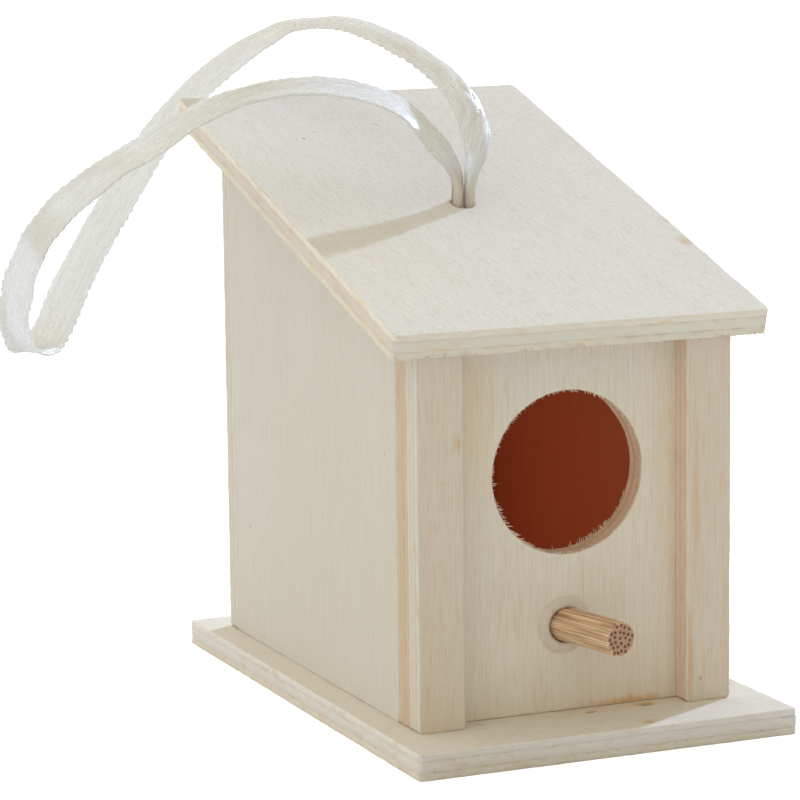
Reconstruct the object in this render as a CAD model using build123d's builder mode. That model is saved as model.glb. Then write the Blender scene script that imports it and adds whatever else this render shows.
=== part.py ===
from build123d import *

from math import cos, pi, radians, sin, tan
import os

# A small plywood birdhouse: five glued boards on a base, a sloping roof, two trim strips, a bamboo
# perch and a ribbon to hang it by. Millimetres and degrees. The origin is the middle of the base's
# underside, +Z is up, and the entrance faces -Y.

# Driving dimensions

# Boards
board = 3.0  # thickness of the base, walls, panels and roof
strip_thickness = 2.8
strip_width = 5.6

# Base
base_width = 47.0
base_depth = 73.0
base_corner_radius = 0.6
base_front_ledge = 7.9  # from the base's front edge to the strips' faces

# House
body_width = 39.0
body_depth = 59.9  # over the strips and the back panel
body_shift = -0.45  # glued a little left of the base's middle
front_height = 42.4  # from the base to the roof's underside, at the strips' faces

# Roof
roof_slope = 17.6
roof_width = 46.4
roof_length = 71.4
roof_front_overhang = 0.9  # along the slope

# Entrance
entrance_diameter = 18.6
entrance_height = 27.5  # centre above the base
entrance_shift = 0.2  # from the body's middle

# Perch
perch_diameter = 4.0
perch_height = 10.0  # centre above the base
perch_shift = -0.3  # hole's centre from the body's middle
perch_reach = 9.7  # free length in front of the panel
perch_inner_end = 0.6  # past the panel's inner face
perch_swing = 12.4  # glued askew, its free end towards +X
perch_end_chamfer = 0.2
perch_hole_clearance = 0.1  # left each side of the askew dowel

# Glue
collar_height = 0.5
collar_foot_spread = 1.0  # past the perch hole's rim, on the panel
collar_top_spread = 0.15  # past the perch hole's rim, at the collar's top
spot_height = 0.3
spot_places = [(9.2, 1.5, 1.3), (2.0, 2.1, 0.9), (6.0, 9.0, 0.9)]  # x and y from the house, diameter

# Ribbon: a round tube stands for the flat ribbon, with the same section area
ribbon_tube_diameter = 1.6
ribbon_strand_gap = 0.1  # between the two strands in the hole
ribbon_hole_clearance = 0.1  # left at each side of the two strands
ribbon_hole_distance = 34.3  # from the roof's front edge, along the slope
ribbon_exit_height = 0.4  # straight above the roof before the first bend
ribbon_bend_share = 0.45  # of the shorter run beside each bend
knot_seat_margin = 0.85  # past the hole's rim, against the roof
knot_bulge = 0.6  # past the seat, at the knot's widest
knot_height = 4.6

# The ribbon's route from the left strand's exit, over the roof's back corner and back to the
# right strand's exit
ribbon_points = [
    (-0.7, 2.7, 61.8),
    (-1.9, 3.1, 64.6),
    (-3.9, 3.9, 67.1),
    (-6.8, 4.5, 69.7),
    (-11.9, 4.8, 71.9),
    (-18.8, 5.2, 72.8),
    (-24.9, 6.0, 72.1),
    (-29.7, 7.2, 70.5),
    (-33.2, 8.9, 68.2),
    (-36.4, 11.0, 66.0),
    (-39.6, 15.7, 63.0),
    (-44.4, 20.3, 58.4),
    (-47.1, 24.8, 52.8),
    (-48.0, 28.4, 46.0),
    (-46.9, 31.6, 41.6),
    (-43.6, 35.7, 38.5),
    (-40.0, 39.0, 41.1),
    (-36.7, 40.9, 47.1),
    (-31.3, 42.1, 54.9),
    (-25.4, 43.2, 63.2),
    (-20.0, 43.1, 69.4),
    (-15.0, 40.7, 74.2),
    (-9.3, 35.2, 78.4),
    (-5.4, 28.1, 79.2),
    (-2.4, 21.6, 77.8),
    (-0.5, 16.1, 76.0),
    (1.3, 11.6, 73.7),
    (2.4, 7.4, 71.1),
    (3.1, 4.9, 68.2),
    (2.8, 3.4, 65.1),
    (1.9, 2.7, 62.1),
]

# Places that follow from the dimensions

body_left = body_shift - body_width / 2
body_right = body_shift + body_width / 2
body_front = -base_depth / 2 + base_front_ledge
body_back = body_front + body_depth
panel_front = body_front + strip_thickness
panel_back = panel_front + board
back_panel_front = body_back - board
slope = radians(roof_slope)
swing = radians(perch_swing)


def underside_of_roof(y):
    """Height of the roof's underside at y."""
    return board + front_height + (y - body_front) * tan(slope)


def side_outline(front, back):
    """Side view of an upright board from front to back, cut to the roof's slope at the top."""
    return [
        (front, board),
        (back, board),
        (back, underside_of_roof(back)),
        (front, underside_of_roof(front)),
    ]


roof_front = body_front - roof_front_overhang * cos(slope)
roof_plane = Plane(
    origin=(0, roof_front, underside_of_roof(roof_front)),
    x_dir=(1, 0, 0),
    z_dir=(0, -sin(slope), cos(slope)),
)
ribbon_hole_diameter = (
    2 * ribbon_tube_diameter + ribbon_strand_gap + 2 * ribbon_hole_clearance
)
ribbon_hole = Plane(
    origin=roof_plane.from_local_coords((0, ribbon_hole_distance, 0)),
    x_dir=(1, 0, 0),
    z_dir=roof_plane.z_dir,
)

os.makedirs("parts", exist_ok=True)


def finish(piece, name):
    """Label a finished piece and write it to its own file."""
    piece.part.label = name
    export_step(piece.part, f"parts/{name}.step")


# Base plate: a rounded rectangle of board
with BuildPart() as base_plate:
    with BuildSketch():
        RectangleRounded(base_width, base_depth, base_corner_radius)
    extrude(amount=board)
finish(base_plate, "base_plate")

# Side walls: between the front and back panels, with tops cut to the roof's slope
with BuildPart() as left_wall:
    with BuildSketch(Plane.YZ.offset(body_left)):
        Polygon(*side_outline(panel_back, back_panel_front), align=None)
    extrude(amount=board)
finish(left_wall, "left_wall")

with BuildPart() as right_wall:
    with BuildSketch(Plane.YZ.offset(body_right - board)):
        Polygon(*side_outline(panel_back, back_panel_front), align=None)
    extrude(amount=board)
finish(right_wall, "right_wall")

# Back panel: the full width of the house
with BuildPart() as back_panel:
    with BuildSketch(Plane.YZ.offset(body_left)):
        Polygon(*side_outline(back_panel_front, body_back), align=None)
    extrude(amount=body_width)
finish(back_panel, "back_panel")

# Perch: a straight dowel, whose axis crosses the panel's mid-thickness at the middle of its hole
perch_hole_x = body_shift + perch_shift
perch_z = board + perch_height
perch_direction = Vector(sin(swing), -cos(swing), 0)
perch_start_distance = (board / 2 + perch_inner_end) / cos(swing)
perch_end_distance = board / 2 / cos(swing) + perch_reach
perch_middle = Vector(perch_hole_x, panel_front + board / 2, perch_z)
perch_plane = Plane(
    origin=perch_middle - perch_direction * perch_start_distance,
    z_dir=perch_direction,
)
with BuildPart() as perch:
    with BuildSketch(perch_plane):
        Circle(perch_diameter / 2)
    extrude(amount=perch_start_distance + perch_end_distance)
    chamfer(perch.edges().sort_by(Axis.Y)[0], perch_end_chamfer)
finish(perch, "perch")

# Front panel: the full width of the house, behind the strips, with the entrance and perch holes.
# The perch hole is drilled square, wide enough for the dowel to lean.
perch_hole_diameter = (
    perch_diameter / cos(swing) + board * tan(swing) + 2 * perch_hole_clearance
)
with BuildPart() as front_panel:
    with BuildSketch(Plane.YZ.offset(body_left)):
        Polygon(*side_outline(panel_front, panel_back), align=None)
    extrude(amount=body_width)
    with BuildSketch(Plane.XZ.offset(-panel_front)):
        with Locations((body_shift + entrance_shift, board + entrance_height)):
            Circle(entrance_diameter / 2)
        with Locations((perch_hole_x, perch_z)):
            Circle(perch_hole_diameter / 2)
    extrude(amount=-board, mode=Mode.SUBTRACT)
finish(front_panel, "front_panel")

# Trim strips: stand on the base against the front panel, flush with its two edges
with BuildPart() as left_front_strip:
    with BuildSketch(Plane.YZ.offset(body_left)):
        Polygon(*side_outline(body_front, panel_front), align=None)
    extrude(amount=strip_width)
finish(left_front_strip, "left_front_strip")

with BuildPart() as right_front_strip:
    with BuildSketch(Plane.YZ.offset(body_right - strip_width)):
        Polygon(*side_outline(body_front, panel_front), align=None)
    extrude(amount=strip_width)
finish(right_front_strip, "right_front_strip")

# Roof: one board on the sloping tops, ends cut square to the slope, with the ribbon's hole
with BuildPart() as roof_panel:
    with BuildSketch(roof_plane):
        Rectangle(roof_width, roof_length, align=(Align.CENTER, Align.MIN))
        with Locations((0, ribbon_hole_distance)):
            Circle(ribbon_hole_diameter / 2, mode=Mode.SUBTRACT)
    extrude(amount=board)
finish(roof_panel, "roof_panel")

# Perch glue: fills the perch's loose hole and stands round the dowel as a low collar
with BuildPart() as perch_glue:
    with BuildSketch(Plane.XZ.offset(-panel_front)):
        with Locations((perch_hole_x, perch_z)):
            Circle(perch_hole_diameter / 2)
    extrude(amount=-board)
    with Locations(Plane.XZ.offset(-panel_front)):
        with Locations((perch_hole_x, perch_z)):
            Cone(
                perch_hole_diameter / 2 + collar_foot_spread,
                perch_hole_diameter / 2 + collar_top_spread,
                collar_height,
                align=(Align.CENTER, Align.CENTER, Align.MIN),
            )
    add(perch.part, mode=Mode.SUBTRACT)
finish(perch_glue, "perch_glue")

# Glue spots: low round beads on the base at the foot of the front panel
with BuildPart() as glue_spots:
    for spot_x, spot_gap, spot_diameter in spot_places:
        spot_centre = (body_shift + spot_x, panel_front - spot_gap, board)
        with Locations(spot_centre):
            Cone(
                spot_diameter / 2,
                spot_diameter / 4,
                spot_height,
                align=(Align.CENTER, Align.CENTER, Align.MIN),
            )
finish(glue_spots, "glue_spots")

# Hanging ribbon: one tube from the knot out through the hole, round the loop and back in
strand_x = (ribbon_tube_diameter + ribbon_strand_gap) / 2
exit_height = board + ribbon_exit_height
ribbon_route = [
    ribbon_hole.from_local_coords((-strand_x, 0, 0)),
    ribbon_hole.from_local_coords((-strand_x, 0, exit_height)),
    *[Vector(point) for point in ribbon_points],
    ribbon_hole.from_local_coords((strand_x, 0, exit_height)),
    ribbon_hole.from_local_coords((strand_x, 0, 0)),
]
ribbon_runs = [end - start for start, end in zip(ribbon_route, ribbon_route[1:])]
ribbon_radii = [
    ribbon_bend_share
    * min(before.length, after.length)
    / tan(radians(before.get_angle(after)) / 2)
    for before, after in zip(ribbon_runs, ribbon_runs[1:])
]
with BuildPart() as hanging_ribbon:
    with BuildLine() as ribbon_path:
        FilletPolyline(*ribbon_route, radius=ribbon_radii)
    with BuildSketch(Plane(origin=ribbon_path.line @ 0, z_dir=ribbon_path.line % 0)):
        Circle(ribbon_tube_diameter / 2)
    sweep()
finish(hanging_ribbon, "hanging_ribbon")

ribbon_length = sum(edge.length for edge in ribbon_path.edges())
ribbon_section = pi * ribbon_tube_diameter**2 / 4
print("ribbon length", round(ribbon_length, 1))
print("ribbon volume", round(hanging_ribbon.part.volume, 2))
print("section times length", round(ribbon_section * ribbon_length, 2))
print("ribbon radii", [round(radius, 1) for radius in ribbon_radii])

# Ribbon knot: a round lump drawn up flat against the roof's underside, around the hole
knot_seat_radius = ribbon_hole_diameter / 2 + knot_seat_margin
knot_foot_radius = knot_seat_radius / 2
knot_profile = Plane(
    origin=ribbon_hole.origin,
    x_dir=(1, 0, 0),
    z_dir=(0, -cos(slope), -sin(slope)),
)
with BuildPart() as ribbon_knot:
    with BuildSketch(knot_profile):
        with BuildLine():
            Line((0, 0), (knot_seat_radius, 0))
            ThreePointArc(
                (knot_seat_radius, 0),
                (knot_seat_radius + knot_bulge, -knot_height / 2),
                (knot_foot_radius, -knot_height),
            )
            Line((knot_foot_radius, -knot_height), (0, -knot_height))
            Line((0, -knot_height), (0, 0))
        make_face()
    revolve(axis=Axis(ribbon_hole.origin, ribbon_hole.z_dir))
finish(ribbon_knot, "ribbon_knot")
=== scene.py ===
# %% [markdown]
# # A small plywood birdhouse on a satin ribbon
# The house is a craft blank: four raw plywood boards on a base, a sloping roof, two thin trim
# strips, a bamboo perch glued a little askew, and a ribbon threaded through the roof.
# The CAD frame says where every piece is. This lesson gives each piece its real surface: sawn
# edges with three plies, torn fibres, satin filaments, bamboo bundles and dried glue.

# %% Load the frame
from math import atan2, ceil, cos, floor, pi, radians, sin, tan
from random import Random

import bpy
from mathutils import Matrix, Vector, noise
from mathutils.geometry import delaunay_2d_cdt


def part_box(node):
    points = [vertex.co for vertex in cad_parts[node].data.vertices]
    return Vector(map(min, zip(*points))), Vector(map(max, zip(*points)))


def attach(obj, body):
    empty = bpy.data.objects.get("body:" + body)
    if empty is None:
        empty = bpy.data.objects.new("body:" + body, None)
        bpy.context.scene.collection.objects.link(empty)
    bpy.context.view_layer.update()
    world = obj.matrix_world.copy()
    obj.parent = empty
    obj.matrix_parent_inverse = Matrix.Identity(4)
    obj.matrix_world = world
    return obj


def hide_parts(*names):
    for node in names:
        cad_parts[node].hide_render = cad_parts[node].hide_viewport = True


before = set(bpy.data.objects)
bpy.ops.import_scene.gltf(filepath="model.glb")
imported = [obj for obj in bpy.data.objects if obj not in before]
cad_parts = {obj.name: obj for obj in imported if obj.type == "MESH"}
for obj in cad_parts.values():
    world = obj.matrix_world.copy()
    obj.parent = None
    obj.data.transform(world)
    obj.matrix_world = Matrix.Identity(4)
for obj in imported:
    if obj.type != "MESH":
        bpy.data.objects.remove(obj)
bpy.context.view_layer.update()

print("nodes", sorted(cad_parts))

# %% [markdown]
# ## Measuring the frame
# Blender works in metres, but such a small object is easier to think about in millimetres. The
# shapes below are drawn in millimetres, and one function turns them to metres when it makes the
# mesh. Most positions come from the boxes of the frame's nodes. The roof's slope is read from
# two boards whose tops follow it.

# %% The house's sizes and places, in millimetres
MM = 0.001


def box_mm(node):
    """The lowest and highest corner of a frame node, in millimetres."""
    low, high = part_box(node)
    return low / MM, high / MM


base_low, base_high = box_mm("base_plate")
strip_low, strip_high = box_mm("left_front_strip")
right_strip_low, right_strip_high = box_mm("right_front_strip")
panel_low, panel_high = box_mm("front_panel")
wall_low, wall_high = box_mm("left_wall")
right_wall_low, right_wall_high = box_mm("right_wall")
back_low, back_high = box_mm("back_panel")
roof_low, roof_high = box_mm("roof_panel")
perch_low, perch_high = box_mm("perch")
glue_low, glue_high = box_mm("perch_glue")
knot_low, knot_high = box_mm("ribbon_knot")

board = base_high.z - base_low.z
house_bottom = base_high.z
slope = atan2(wall_high.z - panel_high.z, wall_high.y - panel_high.y)
roof_start = Vector((0.0, roof_low.y + board * sin(slope), roof_low.z))
roof_length = (roof_high.y - roof_start.y) / cos(slope)
entrance_radius = 9.3
entrance_shift, entrance_height = 0.2, 27.5  # from the panel's middle, and above the base
entrance_x = (panel_low.x + panel_high.x) / 2 + entrance_shift
entrance_z = house_bottom + entrance_height


def underside_of_roof(y):
    """Height of the roof's underside at y."""
    return roof_start.z + (y - roof_start.y) * tan(slope)


print("slope in degrees", round(slope * 180 / pi, 2), "roof length", round(roof_length, 2))

# %% [markdown]
# ## The camera
# A long lens keeps the boards' edges almost parallel, as a product picture does. The camera is
# placed by its azimuth, height angle and roll round the house, then moved sideways and up a
# little so that the whole loop of ribbon is in view.

# %% Camera
camera_azimuth = radians(-23.21)
camera_elevation = radians(9.18)
camera_roll = radians(-0.68)
camera_distance = 404.3
aim_right, aim_up = -9.225, 34.54
lens_length = 150.43
sensor_width = 36.0


def camera_axes(azimuth, elevation, roll):
    """The camera's right, up and backward directions."""
    back = Vector(
        (sin(azimuth) * cos(elevation), -cos(azimuth) * cos(elevation), sin(elevation))
    )
    level = Vector((cos(azimuth), sin(azimuth), 0.0))
    above = back.cross(level)
    right = cos(roll) * level + sin(roll) * above
    up = cos(roll) * above - sin(roll) * level
    return right, up, back


right, up, back = camera_axes(camera_azimuth, camera_elevation, camera_roll)
base_middle = Vector(
    ((base_low.x + base_high.x) / 2, (base_low.y + base_high.y) / 2, base_low.z)
)
camera_place = base_middle + aim_right * right + aim_up * up + camera_distance * back
camera_data = bpy.data.cameras.new("camera")
camera_data.lens = lens_length
camera_data.sensor_width = sensor_width
camera_data.clip_start = 0.01
camera_data.clip_end = 50.0
camera = bpy.data.objects.new("camera", camera_data)
camera.matrix_world = Matrix.Translation(camera_place * MM) @ Matrix(
    (right, up, back)
).transposed().to_4x4()
bpy.context.scene.collection.objects.link(camera)
bpy.context.scene.camera = camera
bpy.context.scene.view_settings.view_transform = "Standard"
print("camera at", [round(value, 1) for value in camera_place])

# %% [markdown]
# ## Helpers for meshes and nodes
# Small helpers keep the later cells short. `new_mesh` makes an object from points in
# millimetres, and `ring_faces` skins rings of points that follow each other, as on a swept band
# or a turned dowel. `add` makes a shader or geometry node and joins its inputs. `calculate`,
# `vectors`, `blend`, `ramp` and `tint` are the nodes that every material needs, in one line
# each, and `finish_surface` joins a colour and a bump to the shader.


# %% Helpers for meshes
def new_mesh(name, points, faces, materials=(), numbers=None):
    """An object whose mesh has these points, in millimetres, with its origin at the world's."""
    mesh = bpy.data.meshes.new(name)
    mesh.from_pydata([tuple(point * MM) for point in points], [], faces)
    for material in materials:
        mesh.materials.append(material)
    if numbers:
        mesh.polygons.foreach_set("material_index", numbers)
    mesh.polygons.foreach_set("use_smooth", [True] * len(mesh.polygons))
    mesh.update()
    piece = bpy.data.objects.new(name, mesh)
    bpy.context.scene.collection.objects.link(piece)
    return piece


def ring_faces(rings, count, first=0, outward=True, closed=False):
    """Four-sided faces between rings of count points each, starting at a first point."""
    faces = []
    for ring in range(rings if closed else rings - 1):
        low, high = first + ring * count, first + (ring + 1) % rings * count
        for step in range(count):
            after = (step + 1) % count
            face = (low + step, low + after, high + after, high + step)
            faces.append(face if outward else (face[0], face[3], face[2], face[1]))
    return faces


def square_corners(low, high):
    """The four corners, anticlockwise, of the rectangle between two of them."""
    return [(low[0], low[1]), (high[0], low[1]), (high[0], high[1]), (low[0], high[1])]


def store_places(piece, name, places, domain="POINT"):
    """Keep a vector on every point or face corner of a piece, for its material to read."""
    made = piece.data.attributes.new(name, "FLOAT_VECTOR", domain)
    made.data.foreach_set("vector", [value for place in places for value in place])


# %% Helpers for nodes
def join(tree, value, socket):
    """Join an output to an input socket, or set a plain value on it."""
    if isinstance(value, bpy.types.NodeSocket):
        tree.links.new(value, socket)
    else:
        socket.default_value = value


def add(tree, kind, inputs=None, **settings):
    """A node of this kind, with its settings, and a value or a joined socket on each input."""
    made = tree.nodes.new(kind)
    for key, value in settings.items():
        setattr(made, key, value)
    for key, value in (inputs or {}).items():
        join(tree, value, made.inputs[key])
    return made


def calculate(tree, operation, first, second=0.0, third=0.0):
    """The result of one Math node."""
    made = add(tree, "ShaderNodeMath", {0: first, 1: second, 2: third}, operation=operation)
    return made.outputs[0]


def vectors(tree, operation, first, second=(0.0, 0.0, 0.0)):
    """The outputs of one Vector Math node."""
    return add(tree, "ShaderNodeVectorMath", {0: first, 1: second}, operation=operation).outputs


def blend(tree, amount, first, second, how="MIX"):
    """The result of mixing two colours."""
    inputs = {0: amount, 6: first, 7: second}
    made = add(tree, "ShaderNodeMix", inputs, data_type="RGBA", blend_type=how)
    return made.outputs[2]


def tint(tree, mask, colour, shade):
    """The colour, multiplied by a shade where the mask is 1."""
    return blend(tree, mask, colour, blend(tree, 1.0, colour, (*shade, 1), "MULTIPLY"))


def ramp(tree, value, start, end):
    """A smooth step from 0 at start to 1 at end."""
    inputs = {"Value": value, "From Min": start, "From Max": end}
    made = add(tree, "ShaderNodeMapRange", inputs, interpolation_type="SMOOTHSTEP")
    return made.outputs["Result"]


def stretched_noise(tree, place, stretch, detail=3.0, rough=0.55):
    """Noise, from 0 to 1, drawn out by a different scale on each axis."""
    scaled = vectors(tree, "MULTIPLY", place, stretch)[0]
    inputs = {"Vector": scaled, "Scale": 1.0, "Detail": detail, "Roughness": rough}
    return add(tree, "ShaderNodeTexNoise", inputs).outputs["Fac"]


def stretched_cells(tree, place, stretch):
    """Distance to the nearest of scattered points, and that point's random colour."""
    scaled = vectors(tree, "MULTIPLY", place, stretch)[0]
    made = add(tree, "ShaderNodeTexVoronoi", {"Vector": scaled, "Scale": 1.0})
    return made.outputs["Distance"], made.outputs["Color"]


def new_group(name, inputs, outputs, tree_kind="ShaderNodeTree"):
    """A node group with named sockets, and its inputs' and outputs' sockets."""
    tree = bpy.data.node_groups.new(name, tree_kind)
    for label, kind, value in inputs:
        socket = tree.interface.new_socket(label, in_out="INPUT", socket_type=f"NodeSocket{kind}")
        if value is not None:
            socket.default_value = value
    for label, kind in outputs:
        tree.interface.new_socket(label, in_out="OUTPUT", socket_type=f"NodeSocket{kind}")
    start = tree.nodes.new("NodeGroupInput")
    end = tree.nodes.new("NodeGroupOutput")
    return tree, start.outputs, end.inputs


def new_material(name):
    """A material with an empty Principled surface, its tree and that shader."""
    material = bpy.data.materials.new(name)
    material.use_nodes = True
    tree = material.node_tree
    return material, tree, tree.nodes["Principled BSDF"]


def finish_surface(tree, shader, colour, bump, settings):
    """Join a colour, and a bump of a height, strength and depth, and set the other sockets."""
    height, strength, depth = bump
    inputs = {"Strength": strength, "Distance": depth, "Height": height}
    raised = add(tree, "ShaderNodeBump", inputs).outputs[0]
    for key, value in {"Base Color": colour, "Normal": raised, **settings}.items():
        join(tree, value, shader.inputs[key])


# %% [markdown]
# ## The ribbon's route
# A ribbon is a fixed length of something limp, so its middle line comes first. The points are
# the frame's own route, from the left strand in the roof's hole, over the roof's back corner and
# back down as the right strand. Near the hole they are a little closer together, because two
# folded bands take less room than the frame's two tubes. A NURBS spline of order 3 runs smoothly
# near them. Its length is measured here, because the ribbon must be as long as the frame's tube.

# %% Route points, in metres
ribbon_length = 0.196
route_steps = 18  # evaluated points for each route point
route_points = [
    (-0.00085, 0.00324, 0.0555),
    (-0.00085, 0.0022, 0.05874),
    (-0.0007, 0.0027, 0.0618),
    (-0.0019, 0.0031, 0.0646),
    (-0.0039, 0.0039, 0.0671),
    (-0.0068, 0.0045, 0.0697),
    (-0.0119, 0.0048, 0.0719),
    (-0.0188, 0.0052, 0.0728),
    (-0.0249, 0.0060, 0.0721),
    (-0.0297, 0.0072, 0.0705),
    (-0.0332, 0.0089, 0.0682),
    (-0.0364, 0.0110, 0.0660),
    (-0.0396, 0.0157, 0.0630),
    (-0.0444, 0.0203, 0.0584),
    (-0.0471, 0.0248, 0.0528),
    (-0.0480, 0.0284, 0.0460),
    (-0.0469, 0.0316, 0.0416),
    (-0.0436, 0.0357, 0.0385),
    (-0.0400, 0.0390, 0.0411),
    (-0.0367, 0.0409, 0.0471),
    (-0.0313, 0.0421, 0.0549),
    (-0.0254, 0.0432, 0.0632),
    (-0.0200, 0.0431, 0.0694),
    (-0.0150, 0.0407, 0.0742),
    (-0.0093, 0.0352, 0.0784),
    (-0.0054, 0.0281, 0.0792),
    (-0.0024, 0.0216, 0.0778),
    (-0.0005, 0.0161, 0.0760),
    (0.0013, 0.0116, 0.0737),
    (0.0024, 0.0074, 0.0711),
    (0.0028, 0.0049, 0.0682),
    (0.0022, 0.0034, 0.0651),
    (0.0012, 0.0027, 0.0621),
    (0.0005, 0.0022, 0.05874),
    (0.0005, 0.00324, 0.0555),
]


def read_route(points, steps):
    """The points of a smooth NURBS line through the air, as Blender evaluates it."""
    curve = bpy.data.curves.new("route", "CURVE")
    curve.dimensions = "3D"
    curve.resolution_u = steps
    spline = curve.splines.new("NURBS")
    spline.points.add(len(points) - 1)
    for control, point in zip(spline.points, points):
        control.co = (*point, 1.0)
    spline.order_u = 3
    spline.use_endpoint_u = True
    holder = bpy.data.objects.new("route", curve)
    line = bpy.data.meshes.new_from_object(holder)
    read = [vertex.co.copy() for vertex in line.vertices]
    bpy.data.objects.remove(holder)
    bpy.data.meshes.remove(line)
    bpy.data.curves.remove(curve)
    return read


ribbon_path = read_route(route_points, route_steps)
path_length = sum((b - a).length for a, b in zip(ribbon_path, ribbon_path[1:]))
print("route", len(ribbon_path), "points", round(path_length / MM, 1), "mm long")

# %% [markdown]
# ## The satin ribbon
# The ribbon is a flat band, about 5.5 mm wide and half a millimetre thick, woven from shiny
# filaments that run along it. Its width stays level, like a road, so it looks thin where it runs
# level and shows its face where it falls. Its selvedges are scalloped, where the weft turns
# back, and it folds into a narrow gutter where both strands squeeze through the hole. The two
# strands fold away from each other, so that they lie back to back there.
# The band is swept along the route one ring at a time, because its width, fold and scallops all
# change on the way. Each point also keeps how far across and along the ribbon it is, for the material.

# %% Ribbon sizes, in millimetres
ribbon_half = 2.72
ribbon_thick = 0.42
filaments = 13
filament_ridge = 0.055
scallop_pitch = 1.3
scallop_depth = 0.34
across_count = 40
# Distances from the ribbon's ends where it is gathered, and, nearer, squeezed
fold_start, front_fold_reach, back_fold_reach = 7.0, 17.0, 42.0
squeeze_start, squeeze_reach = 5.0, 12.0
level_start, level_reach = 4.0, 8.0
pleats, pleat_depth = 3.5, 0.15
flutter_depth = 0.12
# How far round the section curls, in radians, in the air, gathered and in the hole
free_fold, gathered_fold, hole_fold = 0.45, 3.5, 6.0
least_fold = 0.05
# Shares of the free size that are left in the hole
hole_flat, hole_thin = 0.62, 0.6
gathered_scallop = 0.4


def smooth(value):
    """0 below 0, 1 above 1 and an eased step between."""
    value = min(max(value, 0.0), 1.0)
    return value * value * (3 - 2 * value)


# Distance along the ribbon, and how far its face leans there, in degrees
leans = [
    (0, 0), (8, -22), (14, -27), (22, -24), (32, -17), (36, -16), (42, -24), (50, -46), (60, -52),
    (66, -66), (72, -84), (78, -112), (84, -150), (90, -178), (96, -169), (102, -156), (112, -152),
    (126, -151), (138, -139), (144, -147), (150, -167), (162, -176), (174, -184), (186, -190),
    (196, -180),
]


def lean_at(along):
    """The ribbon's lean, in radians, eased between the values above."""
    for (start, before), (end, after) in zip(leans, leans[1:]):
        if along <= end:
            return radians(before + (after - before) * smooth((along - start) / (end - start)))
    return 0.0


def ribbon_section(along, total):
    """Across, sideways and lift of each point of the band's closed section."""
    to_end = min(along, total - along)
    in_front = along < total / 2
    reach = front_fold_reach if in_front else back_fold_reach
    gather = 1 - smooth((to_end - fold_start) / (reach - fold_start))
    squeeze = 1 - smooth((to_end - squeeze_start) / (squeeze_reach - squeeze_start))
    fold = free_fold * (1 + 0.4 * noise.noise(Vector((along * 0.09, 3.1, 0.0))))
    curl = -1 if in_front else 1
    fold += (curl * gathered_fold - fold) * gather + curl * (hole_fold - gathered_fold) * squeeze
    if abs(fold) < least_fold:
        fold = least_fold
    radius = 2 * ribbon_half / fold
    thick = ribbon_thick * (1 - (1 - hole_thin) * squeeze)
    flat = 1 - (1 - hole_flat) * squeeze
    middle = radius * (1 - 2 * sin(fold / 2) / fold)
    points = []
    for side in (1, -1):
        steps = range(across_count + 1)
        for step in steps if side > 0 else reversed(steps):
            across = 2 * step / across_count - 1
            half = ribbon_half + scallop(along, across) * (1 - (1 - gathered_scallop) * gather)
            angle = fold * across * half / ribbon_half / 2
            edge = (1 - abs(across) ** 12) ** 0.5
            ridge = filament_ridge * abs(sin(across * filaments * pi / 2)) * edge
            lift = side * (thick / 2 * edge + ridge)
            sideways = (radius - lift) * sin(angle)
            height = radius - (radius - lift) * cos(angle) - middle
            height += pleat_depth * gather * edge * cos(pleats * pi * (across + 0.15 * sin(along)))
            points.append((across, sideways, height * flat))
    return points


def scallop(along, across):
    """How far the selvedge bulges out here, more towards the ribbon's edges."""
    phase = 0.3 if across > 0 else 0.8
    wander = 0.35 * noise.noise(Vector((along * 0.4, phase, 0.0)))
    wave = abs(sin((along / scallop_pitch + phase + wander) * pi))
    return scallop_depth * (wave - 0.6) * abs(across) ** 6


def ribbon_frames(path):
    """Each path point in millimetres with its distance along, sideways and lift directions."""
    points = [point / MM for point in path]
    total = sum((b - a).length for a, b in zip(points, points[1:]))
    frames = []
    along = 0.0
    for index, point in enumerate(points):
        before = points[max(index - 1, 0)]
        after = points[min(index + 1, len(points) - 1)]
        forward = (after - before).normalized()
        level = forward.cross(Vector((0.0, 0.0, 1.0)))
        near_hole = 1 - smooth((min(along, total - along) - level_start) / level_reach)
        sideways = level.normalized().lerp(Vector((0.0, 1.0, 0.0)), near_hole)
        sideways = (sideways - forward * sideways.dot(forward)).normalized()
        turned = Matrix.Rotation(lean_at(along), 3, forward) @ sideways
        frames.append((point, along, turned, turned.cross(forward)))
        along += (after - point).length
    return frames, total


def sweep_ribbon(name, path, material):
    """The band along the path, with its across and along distances kept on each point."""
    frames, total = ribbon_frames(path)
    points, marks = [], []
    for centre, along, sideways, lift in frames:
        flutter = flutter_depth * noise.noise(Vector((along * 0.35, 5.0, 0.0)))
        for across, aside, rise in ribbon_section(along, total):
            ripple = flutter * abs(across) ** 3
            points.append(centre + sideways * aside + lift * (rise + ripple))
            marks.append((across * ribbon_half, along, 0.0))
    ring = len(points) // len(frames)
    faces = ring_faces(len(frames), ring, outward=False)
    faces.append(tuple(range(ring)))
    last = (len(frames) - 1) * ring
    faces.append(tuple(last + ring - 1 - index for index in range(ring)))
    piece = new_mesh(name, points, faces, [material])
    store_places(piece, "ribbon_place", marks)
    return piece
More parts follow.
